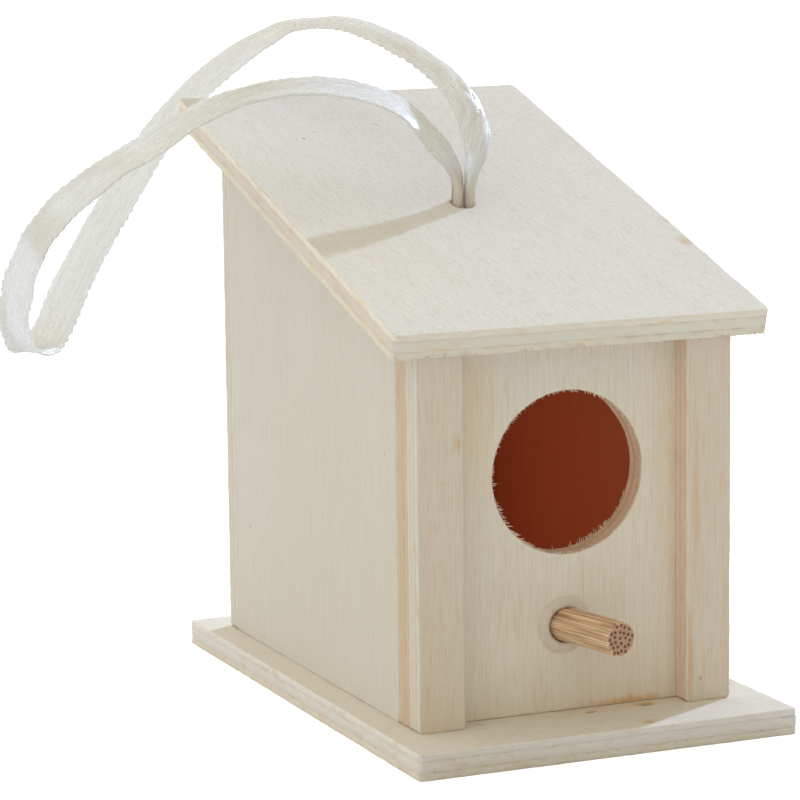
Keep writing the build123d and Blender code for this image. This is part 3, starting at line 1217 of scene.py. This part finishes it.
# %% Front panel
perch_hole = ((glue_low.x + glue_high.x) / 2, (glue_low.z + glue_high.z) / 2)
perch_hole_radius = 2.48
front_materials = look_materials(
    "front", panel_look, front_edge, upright_grain, (7, 3, 0), front_stains_and_shade
)
front = cut_board(
    "front_board",
    upright_outline(panel_low, panel_high),
    [((entrance_x, entrance_z), entrance_radius), (perch_hole, perch_hole_radius)],
    facing_front(panel_low, front_seed),
    front_materials,
    wall_ragged,
    front_seed,
)
print("front", len(front.data.polygons), "faces")


# %% Back panel
def place_back(along, z, depth):
    """The back panel faces +Y, and its outline's height is that of its inner side."""
    top = underside_of_roof(back_low.y)
    y = back_high.y - depth - warp(along, z, back_seed)
    rise = (underside_of_roof(y) - house_bottom) / (top - house_bottom)
    return Vector((-along, y, house_bottom + (z - house_bottom) * rise))


back_materials = look_materials("back", wall_look, side_edge, upright_grain, (60, 3, 20))
back_board = cut_board(
    "back_board", upright_outline(back_low, back_high, -1), [], place_back, back_materials,
    wall_ragged, back_seed,
)
print("back", len(back_board.data.polygons), "faces")

# %% Trim strips
strip_thickness = strip_high.y - strip_low.y
strips = []
for side, low, high, shift, edge, patches in (
    ("left", strip_low, strip_high, (31, 9, 0), side_edge, left_strip_patches),
    ("right", right_strip_low, right_strip_high, (47, 60, 0), right_strip_edge, right_strip_patches),
):
    materials = look_materials(f"{side}_strip", strip_look, edge, upright_grain, shift, patches)
    seed = strip_seed + shift[0] / 31
    strips.append(
        cut_board(
            f"{side}_trim", upright_outline(low, high), [], facing_front(low, seed), materials,
            wall_ragged, seed, strip_thickness,
        )
    )
print("strips", [len(strip.data.polygons) for strip in strips], "faces")

# %% [markdown]
# ## The bamboo perch
# Bamboo has no rings or pores like wood. Hard bundles of fibres run along it, so the dowel has
# fine grooves along its side and dark dots on its sawn end.

# %% Perch shape
perch_swing = radians(12.4)
perch_radius = (perch_high.z - perch_low.z) / 2
perch_middle = (perch_low + perch_high) / 2
perch_forward = Vector((sin(perch_swing), -cos(perch_swing), 0.0))
perch_depth = perch_high.y - perch_low.y
perch_length = (perch_depth - 2 * perch_radius * sin(perch_swing)) / cos(perch_swing)
perch_steps = 96
perch_rings = 30


def groove(turn, along):
    """How far the dowel's side is cut in at a turn round it."""
    wide = noise.noise(Vector((3.2 * cos(turn), 3.2 * sin(turn), 0.06 * along)))
    fine = noise.noise(Vector((9.5 * cos(turn), 9.5 * sin(turn), 0.16 * along)))
    return 0.11 * wide + 0.16 * min(0.0, fine)


def turn_perch(name, materials):
    """The dowel, with grooves along its side, a soft rim and a slightly rough end."""
    sideways = Vector((cos(perch_swing), sin(perch_swing), 0.0))
    upward = Vector((0.0, 0.0, 1.0))
    start = perch_middle - perch_forward * perch_length / 2
    # Distance along the dowel and share of its radius: back end, side, front rim, front end
    stops = [(0.0, 0.6), (0.0, 0.9), (0.05, 0.97)]
    stops += [(0.1 + (perch_length - 0.3) * i / perch_rings, 1.0) for i in range(perch_rings + 1)]
    stops += [(perch_length - 0.08, 0.985), (perch_length - 0.02, 0.95), (perch_length, 0.91)]
    end_rings = len(stops)
    stops += [(perch_length, share) for share in (0.78, 0.6, 0.42, 0.24, 0.1)]
    points, marks = [], []
    for ring, (along, share) in enumerate(stops):
        for step in range(perch_steps):
            turn = 2 * pi * step / perch_steps
            radius = (perch_radius - 0.03 + groove(turn, along)) * share
            radius = min(radius, perch_radius)
            place = start + perch_forward * along
            place += radius * (cos(turn) * sideways + sin(turn) * upward)
            if ring >= end_rings:
                bump = noise.noise(Vector((place.x * 1.8, place.z * 1.8, 0.0)))
                place -= perch_forward * (0.05 + 0.05 * bump)
            points.append(place)
            marks.append((radius * cos(turn), along, radius * sin(turn)))
    faces = ring_faces(len(stops), perch_steps)
    on_side = (end_rings - 1) * perch_steps
    numbers = [0 if index < on_side else 1 for index in range(len(faces))]
    faces.append(tuple(reversed(range(perch_steps))))
    last = (len(stops) - 1) * perch_steps
    faces.append(tuple(range(last, last + perch_steps)))
    numbers += [0, 1]
    piece = new_mesh(name, points, faces, materials, numbers)
    store_places(piece, "dowel_place", marks)
    return piece


# %% Bamboo materials
def make_bamboo(name, on_end):
    """Bamboo: long fibres on the side, dark bundles on the end."""
    material, tree, shader = new_material(name)
    place = add(tree, "ShaderNodeAttribute", attribute_name="dowel_place").outputs["Vector"]
    threads = stretched_noise(tree, place, (4.5, 0.10, 4.5), 4.0, 0.6)
    colour = blend(tree, ramp(tree, threads, 0.3, 0.7), (0.40, 0.19, 0.08, 1), (0.90, 0.71, 0.47, 1))
    slow = stretched_noise(tree, place, (0.9, 0.12, 0.9), 2.0)
    colour = blend(tree, ramp(tree, slow, 0.45, 0.75), colour, (0.82, 0.54, 0.30, 1))
    height = threads
    if on_end:
        height = stretched_noise(tree, place, (4.0, 4.0, 4.0), 3.0, 0.6)
        colour = blend(tree, height, (0.50, 0.28, 0.16, 1), (0.64, 0.42, 0.28, 1))
    settings = {"Roughness": 0.55, "Specular IOR Level": 0.35}
    finish_surface(tree, shader, colour, (height, 0.5, 0.00015), settings)
    return material


perch = turn_perch("bamboo_perch", [make_bamboo("bamboo_side", False), make_bamboo("bamboo_end", True)])
print("perch", round(perch_length, 1), "mm long,", len(perch.data.polygons), "faces")

# %% [markdown]
# ## Dried glue
# Glue round the perch dries to a thin cloudy ring, higher against the dowel than on the panel.
# Three small drops dried amber on the base. Both are low round shapes with a wandering outline.


# %% Glue ring
ring_steps = 72
ring_waver = 0.04
plug_radius = perch_hole_radius - 0.04


def pour_ring(name, material):
    """A low ring of glue round the dowel, with a plug in the hole behind it."""
    middle = Vector((perch_hole[0], 0.0, perch_hole[1]))
    reach = (glue_high.x - glue_low.x) / 2
    collar_top = panel_low.y - glue_low.y
    # How far each ring stands off the panel, and its share of the glue's reach
    stops = [(0.02, 1.0), (0.16, 0.93), (0.3, 0.84), (0.42, 0.76), (collar_top, 0.70), (0.3, 0.6)]
    turns = [2 * pi * step / ring_steps for step in range(ring_steps)]
    points = []
    for rise, share in stops:
        for turn in turns:
            waver = ring_waver * noise.noise(Vector((1.3 * cos(turn), 1.3 * sin(turn), 4.0)))
            radius = reach * (share + waver * (share > 0.65) - 0.03)
            aside = Vector((radius * cos(turn), panel_low.y - rise, radius * sin(turn)))
            points.append(middle + aside)
    for turn in turns:
        plug_end = Vector((plug_radius * cos(turn), glue_high.y - 0.05, plug_radius * sin(turn)))
        points.append(middle + plug_end)
    faces = ring_faces(len(stops) + 1, ring_steps, outward=False)
    return new_mesh(name, points, faces, [material])


# %% Glue drops
drop_steps = 28
same_drop = 1.6  # the furthest that two points of one drop lie apart
# Share of a drop's reach, and its height there
drop_profile = ((1.0, 0.0), (0.93, 0.05), (0.7, 0.09), (0.4, 0.11))


def pour_drops(name, material):
    """Three flat drops on the base, at the frame's glue spots."""
    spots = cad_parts["glue_spots"].data.vertices
    tops = [spot.co / MM for spot in spots]
    groups = []
    for place in tops:
        for group in groups:
            if (group[0] - place).length < same_drop:
                group.append(place)
                break
        else:
            groups.append([place])
    points, faces = [], []
    rings = len(drop_profile)
    for number, group in enumerate(groups):
        low = Vector([min(place[axis] for place in group) for axis in range(3)])
        high = Vector([max(place[axis] for place in group) for axis in range(3)])
        middle = (low + high) / 2
        reach = (high.x - low.x) / 2
        first = len(points)
        for share, rise in drop_profile:
            for step in range(drop_steps):
                turn = 2 * pi * step / drop_steps
                spot = Vector((1.6 * cos(turn), 1.6 * sin(turn), 5.0 * number))
                wander = 1.1 + 0.9 * noise.noise(spot) + 0.3 * noise.noise(spot * 2.7)
                aside = Vector((1.5 * cos(turn), 0.7 * sin(turn), 0.0)) * reach * share * wander
                points.append(Vector((middle.x, middle.y, base_high.z + rise)) + aside)
        faces += ring_faces(rings, drop_steps, first)
        faces.append(tuple(first + (rings - 1) * drop_steps + step for step in range(drop_steps)))
        faces.append(tuple(first + drop_steps - 1 - step for step in range(drop_steps)))
    print("glue drops", len(groups))
    return new_mesh(name, points, faces, [material])


# %% Glue materials
def make_glue(name, colour, deep, cover, gap):
    """Dried glue with a soft shine. cover is how much it hides, gap how ragged it is."""
    material, tree, shader = new_material(name)
    place = board_place(tree)
    tone = stretched_noise(tree, place, (0.9, 0.9, 0.9), 3.0)
    mixed = blend(tree, ramp(tree, tone, 0.35, 0.7), (*colour, 1), (*deep, 1))
    thin = stretched_noise(tree, place, (1.7, 1.7, 1.7), 4.0, 0.7)
    settings = {
        "Roughness": calculate(tree, "MULTIPLY_ADD", tone, 0.2, 0.25),
        "Alpha": calculate(tree, "MULTIPLY", ramp(tree, thin, gap, gap + 0.3), cover),
    }
    finish_surface(tree, shader, mixed, (tone, 0.4, 0.0002), settings)
    return material


ring_glue = make_glue("clear_glue", (0.84, 0.76, 0.64), (0.78, 0.67, 0.54), 0.85, -0.5)
amber_glue = make_glue("amber_glue", (0.80, 0.58, 0.30), (0.68, 0.42, 0.18), 0.7, 0.3)
glue_ring = pour_ring("perch_glue_ring", ring_glue)
glue_drops = pour_drops("base_glue_drops", amber_glue)

# %% [markdown]
# ## Torn fibres and bamboo bundles
# A saw leaves short torn fibres on thin plywood: round the entrance, under the roof's front
# edge, at the ribbon's hole and along the base. Hundreds of them are placed by a geometry node
# tree. A carrier mesh holds one loose point for each fibre, with its direction and length, and
# the tree puts a thin cone on each point. A second tree scatters the dark bundles over the
# dowel's sawn end. A tree fits here, because the shapes are many, small and all alike.


# %% Growing small shapes on a carrier
def new_growth(name, inputs):
    """A geometry node tree with named inputs, its input sockets and its end socket."""
    inputs = [("Geometry", "Geometry", None), *inputs, ("Material", "Material", None)]
    tree, given, result = new_group(name, inputs, [("Geometry", "Geometry")], "GeometryNodeTree")
    return tree, given, result["Geometry"]


def end_growth(tree, instances, material, end):
    """Close a tree: instances become real mesh and take their material."""
    real = add(tree, "GeometryNodeRealizeInstances", {"Geometry": instances}).outputs[0]
    finished = add(tree, "GeometryNodeSetMaterial", {"Geometry": real, "Material": material})
    tree.links.new(finished.outputs[0], end)


def grow(carrier, tree, values, piece):
    """Run a tree on a carrier, join what it makes to a piece and remove the carrier."""
    modifier = carrier.modifiers.new("growth", "NODES")
    modifier.node_group = tree
    for item in tree.interface.items_tree:
        if item.in_out == "INPUT" and item.name in values:
            modifier[item.identifier] = values[item.name]
    graph = bpy.context.evaluated_depsgraph_get()
    mesh = bpy.data.meshes.new_from_object(carrier.evaluated_get(graph), depsgraph=graph)
    carrier.modifiers.remove(modifier)
    bpy.data.objects.remove(carrier)
    grown = bpy.data.objects.new("grown", mesh)
    bpy.context.scene.collection.objects.link(grown)
    count = len(mesh.polygons)
    mesh.polygons.foreach_set("use_smooth", [True] * count)
    with bpy.context.temp_override(active_object=piece, selected_editable_objects=[piece, grown]):
        bpy.ops.object.join()
    print(piece.name, "gained", count, "faces")


# %% Fibre tree
def make_fibre_tree():
    """A thin cone on each loose point, turned along its way and as long as it says."""
    tree, given, end = new_growth("torn_fibres", [("Thickness", "Float", 0.00006)])
    inputs = {"Vertices": 5, "Radius Top": 0.15, "Radius Bottom": 1.0, "Depth": 1.0}
    cone = add(tree, "GeometryNodeMeshCone", inputs).outputs["Mesh"]
    way = add(tree, "GeometryNodeInputNamedAttribute", {"Name": "fibre_way"}, data_type="FLOAT_VECTOR")
    turned = add(tree, "FunctionNodeAlignRotationToVector", {"Vector": way.outputs[0]}, axis="Z")
    length = vectors(tree, "LENGTH", way.outputs[0])["Value"]
    inputs = {"X": given["Thickness"], "Y": given["Thickness"], "Z": length}
    size = add(tree, "ShaderNodeCombineXYZ", inputs).outputs[0]
    inputs = {
        "Points": given["Geometry"], "Instance": cone, "Rotation": turned.outputs[0], "Scale": size,
    }
    placed = add(tree, "GeometryNodeInstanceOnPoints", inputs).outputs[0]
    end_growth(tree, placed, given["Material"], end)
    return tree


def make_fibre_material():
    """Pale torn wood, a little darker in places."""
    material, tree, shader = new_material("torn_fibre")
    tone = stretched_noise(tree, board_place(tree), (1.1, 1.1, 1.1), 3.0)
    colour = blend(tree, ramp(tree, tone, 0.35, 0.65), (0.74, 0.60, 0.46, 1), (0.88, 0.82, 0.70, 1))
    finish_surface(tree, shader, colour, (tone, 0.3, 0.0001), {"Roughness": 0.8})
    return material


fibre_tree = make_fibre_tree()
fibre_material = make_fibre_material()


def grow_fibres(piece, fibres, thickness):
    """Join torn fibres, each a foot and a way in millimetres, to a board."""
    carrier = new_mesh("fibre_feet", [foot for foot, way in fibres], [])
    store_places(carrier, "fibre_way", [way * MM for foot, way in fibres])
    grow(carrier, fibre_tree, {"Thickness": thickness * MM, "Material": fibre_material}, piece)


# %% Fibres round the entrance
chance = Random(12)


def rim_fibres():
    """Short teeth all round, longer at the lower left and, inside, at the lower right."""
    fibres = []
    for number in range(420):
        turn = chance.uniform(0, 2 * pi)
        inward = Vector((-cos(turn), 0.0, -sin(turn)))
        depth = chance.uniform(-0.02, 0.5)
        length = chance.uniform(0.12, 0.34)
        spread = (chance.uniform(-0.5, 0.5), chance.uniform(-0.5, 0.1), chance.uniform(-0.5, 0.5))
        way = inward + Vector(spread)
        lower_left = max(0.0, cos(turn - radians(222)))
        lower_right = max(0.0, cos(turn - radians(310)))
        if chance.random() < lower_left ** 6:
            way = Vector((1.0, -0.15, chance.uniform(-0.6, 0.15)))
            length = chance.uniform(0.35, 0.8)
        elif chance.random() < lower_right ** 8:
            way = Vector((chance.uniform(-0.5, 0.2), 0.0, 1.0))
            depth = chance.uniform(2.2, 2.9)
            length = chance.uniform(0.3, 0.65)
        middle = Vector((entrance_x, panel_low.y + depth, entrance_z))
        foot = middle - inward * (entrance_radius + 0.02)
        fibres.append((foot, way.normalized() * length))
    return fibres


fibre_thickness = 0.06
roof_fibre_thickness = 0.05
grow_fibres(front, rim_fibres(), fibre_thickness)


# %% Fibres under the roof's front edge and round the ribbon's hole
def roof_fibres():
    """Fuzz along the lower front edge, longer at its right end, and some at the hole."""
    fibres = []
    for number in range(320):
        x = chance.uniform(roof_low.x + 0.3, roof_high.x - 0.3)
        clump = max(0.0, noise.noise(Vector((x * 0.5, 7.0, 0.0))) + 0.25)
        way = Vector((chance.uniform(-0.9, 0.9), chance.uniform(-0.5, 0.1), -1.0)).normalized()
        length = chance.uniform(0.1, 0.2 + 0.5 * clump)
        foot = place_roof(x, chance.uniform(0.0, 0.1), chance.uniform(2.5, 2.95))
        fibres.append((foot, way * length))
    for number in range(16):
        x = roof_high.x - chance.uniform(0.3, 6.0)
        way = Vector((chance.uniform(-0.6, 1.0), -0.2, -0.8)).normalized()
        fibres.append((place_roof(x, 0.1, 2.85), way * chance.uniform(0.5, 1.3)))
    for number in range(60):
        turn = chance.uniform(0, 2 * pi)
        spread = Vector((cos(turn), sin(turn)))
        foot = Vector(ribbon_hole) + spread * (ribbon_hole_radius + 0.05)
        way = Vector((spread.x, spread.y, chance.uniform(0.2, 1.2))).normalized()
        fibres.append((place_roof(foot.x, foot.y, 0.02), way * chance.uniform(0.15, 0.5)))
    return fibres


grow_fibres(roof, roof_fibres(), roof_fibre_thickness)


# %% Fibres along the base's edges
def base_fibres():
    """Fuzz along the base's lower and upper edges, in clumps."""
    fibres = []
    for number in range(700):
        along = chance.random()
        if number % 3:
            foot = Vector((base_low.x + along * (base_high.x - base_low.x), base_low.y, 0.0))
            outward = Vector((0.0, -1.0, 0.0))
        else:
            foot = Vector((base_high.x, base_low.y + along * (base_high.y - base_low.y), 0.0))
            outward = Vector((1.0, 0.0, 0.0))
            if number % 2:
                foot.x, outward.x = base_low.x, -1.0
        clump = max(0.0, noise.noise(foot * 0.4) + 0.3)
        foot.z = chance.choice((0.12, 0.25, 0.9, 2.1, base_high.z - 0.15))
        spread = Vector((chance.uniform(-1, 1), chance.uniform(-1, 1), chance.uniform(-0.5, 0.5)))
        way = (outward * 0.9 + spread * 0.7).normalized()
        length = chance.uniform(0.08, 0.15 + 0.3 * clump)
        fibres.append((foot - outward * 0.05, way * min(length, 4 * foot.z)))
    return fibres


grow_fibres(base, base_fibres(), fibre_thickness)

# %% Bundles on the dowel's end
bundle_gap = 0.5
bundle_radius = 0.21
bundle_seed = 3


def make_bundle_tree():
    """Dark flattened beads, scattered at least a gap apart over a surface."""
    tree, given, end = new_growth(
        "bamboo_bundles",
        [
            ("Gap", "Float", 0.0004),
            ("Radius", "Float", 0.0002),
            ("Seed", "Int", bundle_seed),
        ],
    )
    inputs = {
        "Mesh": given["Geometry"], "Distance Min": given["Gap"], "Density Max": 2.0e7,
        "Seed": given["Seed"],
    }
    spread = add(
        tree, "GeometryNodeDistributePointsOnFaces", inputs, distribute_method="POISSON"
    ).outputs
    inputs = {"Segments": 8, "Rings": 5, "Radius": given["Radius"]}
    bead = add(tree, "GeometryNodeMeshUVSphere", inputs).outputs["Mesh"]
    inputs = {
        "Points": spread["Points"], "Instance": bead, "Rotation": spread["Rotation"],
        "Scale": (1.0, 1.0, 0.4),
    }
    placed = add(tree, "GeometryNodeInstanceOnPoints", inputs).outputs[0]
    end_growth(tree, placed, given["Material"], end)
    return tree


def make_bundle_material():
    """Dark brown fibre bundles, each a little different."""
    material, tree, shader = new_material("bamboo_bundle")
    tone = stretched_noise(tree, board_place(tree), (3.0, 3.0, 3.0), 2.0)
    colour = blend(tree, tone, (0.10, 0.035, 0.015, 1), (0.36, 0.16, 0.08, 1))
    finish_surface(tree, shader, colour, (tone, 0.3, 0.0001), {"Roughness": 0.7})
    return material


def end_disc():
    """A disc just inside the dowel's sawn end, that carries the bundles."""
    sideways = Vector((cos(perch_swing), sin(perch_swing), 0.0))
    middle = perch_middle + perch_forward * (perch_length / 2 - 0.04)
    count = 24
    turns = [2 * pi * step / count for step in range(count)]
    points = [middle]
    for turn in turns:
        aside = cos(turn) * sideways + sin(turn) * Vector((0.0, 0.0, 1.0))
        points.append(middle + aside * (perch_radius - 0.24))
    faces = [(0, 1 + step, 1 + (step + 1) % count) for step in range(count)]
    return new_mesh("end_disc", points, faces)


bundle_values = {
    "Gap": bundle_gap * MM, "Radius": bundle_radius * MM, "Seed": bundle_seed,
    "Material": make_bundle_material(),
}
grow(end_disc(), make_bundle_tree(), bundle_values, perch)

# %% [markdown]
# ## Every piece joins the frame
# Each new piece stands for one frame node and rides on the one body of this object.

# %% Replace the frame's nodes
for piece, node, slot in (
    (base, "base_plate", "base_plywood"),
    (roof, "roof_panel", "roof_plywood"),
    (left_wall, "left_wall", "wall_plywood"),
    (right_wall, "right_wall", "wall_plywood"),
    (front, "front_panel", "wall_plywood"),
    (back_board, "back_panel", "wall_plywood"),
    (strips[0], "left_front_strip", "strip_plywood"),
    (strips[1], "right_front_strip", "strip_plywood"),
    (perch, "perch", "bamboo"),
    (glue_ring, "perch_glue", "dried_glue"),
    (glue_drops, "glue_spots", "dried_glue"),
):
    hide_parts(node)
    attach(piece, "root")
    print(piece.name, "stands for", node)

# %% [markdown]
# ## Floor and light
# The house stands on a white table. One small lamp, low on the right and a little behind, throws
# the crisp shadows of the roof and the ribbon. A pale dome gives the soft light, brighter on the
# left and from above than from the front. A weak warm lamp inside the house stands in for the
# light that bounces there more often than a renderer follows it.

# %% Floor
floor_size = 6000.0


def make_floor():
    """A plain white table top that stays pale in the shade."""
    material, tree, shader = new_material("white_table")
    place = board_place(tree)
    tone = stretched_noise(tree, place, (0.01, 0.01, 0.01), 2.0)
    colour = blend(tree, tone, (0.80, 0.80, 0.80, 1), (0.82, 0.82, 0.82, 1))
    tree.links.new(colour, shader.inputs["Base Color"])
    shader.inputs["Roughness"].default_value = 0.9
    glow = add(tree, "ShaderNodeEmission", {"Color": (1, 1, 1, 1), "Strength": 0.72})
    lit = add(tree, "ShaderNodeAddShader", {0: shader.outputs[0], 1: glow.outputs[0]})
    seen = add(tree, "ShaderNodeLightPath").outputs["Is Camera Ray"]
    mixed = add(tree, "ShaderNodeMixShader", {0: seen, 1: shader.outputs[0], 2: lit.outputs[0]})
    tree.links.new(mixed.outputs[0], tree.nodes["Material Output"].inputs["Surface"])
    half = floor_size / 2
    corners = [Vector((x, y, base_low.z)) for x, y in square_corners((-half, -half), (half, half))]
    return new_mesh("table", corners, [(0, 1, 2, 3)], [material])


make_floor()

# %% Lamps
key_direction = Vector((0.82, 0.414, 0.391))
key_data = bpy.data.lights.new("key", "SUN")
key_data.energy = 3.2
key_data.angle = radians(2.5)
key_data.color = (0.54, 0.70, 1.0)
key = bpy.data.objects.new("key", key_data)
key.rotation_mode = "QUATERNION"
key.rotation_quaternion = key_direction.to_track_quat("Z", "Y")
bpy.context.scene.collection.objects.link(key)

lamp_data = bpy.data.lights.new("cavity_lamp", "AREA")
lamp_data.shape = "RECTANGLE"
lamp_data.size = (panel_high.z - base_high.z) * 0.85 * MM
lamp_data.size_y = (cavity_high.y - cavity_low.y) * 0.95 * MM
lamp_data.energy = 0.0034
lamp_data.color = (1.0, 0.56, 0.36)
lamp = bpy.data.objects.new("cavity_lamp", lamp_data)
lamp_place = Vector((
    cavity_low.x + 1.0,
    (cavity_low.y + cavity_high.y) / 2,
    (base_high.z + panel_high.z) / 2,
))
lamp.matrix_world = Matrix.Translation(lamp_place * MM) @ Matrix.Rotation(-pi / 2, 4, "Y")
lamp.visible_camera = False
bpy.context.scene.collection.objects.link(lamp)

# %% Dome
brighter_way = (-0.30, 0.236, 0.268)
middle_strength = 0.643


def make_dome():
    """A pale surround, brighter to the left and above than in front."""
    world = bpy.data.worlds.new("dome")
    world.use_nodes = True
    bpy.context.scene.world = world
    tree = world.node_tree
    direction = add(tree, "ShaderNodeTexCoord").outputs["Generated"]
    towards = vectors(tree, "DOT_PRODUCT", direction, brighter_way)["Value"]
    leftward = add(tree, "ShaderNodeSeparateXYZ", {0: direction}).outputs["X"]
    colour = blend(tree, ramp(tree, leftward, 0.0, -0.8), (1, 0.94, 0.80, 1), (1, 0.985, 0.93, 1))
    background = tree.nodes["Background"]
    tree.links.new(colour, background.inputs["Color"])
    strength = calculate(tree, "ADD", towards, middle_strength)
    tree.links.new(strength, background.inputs["Strength"])


make_dome()
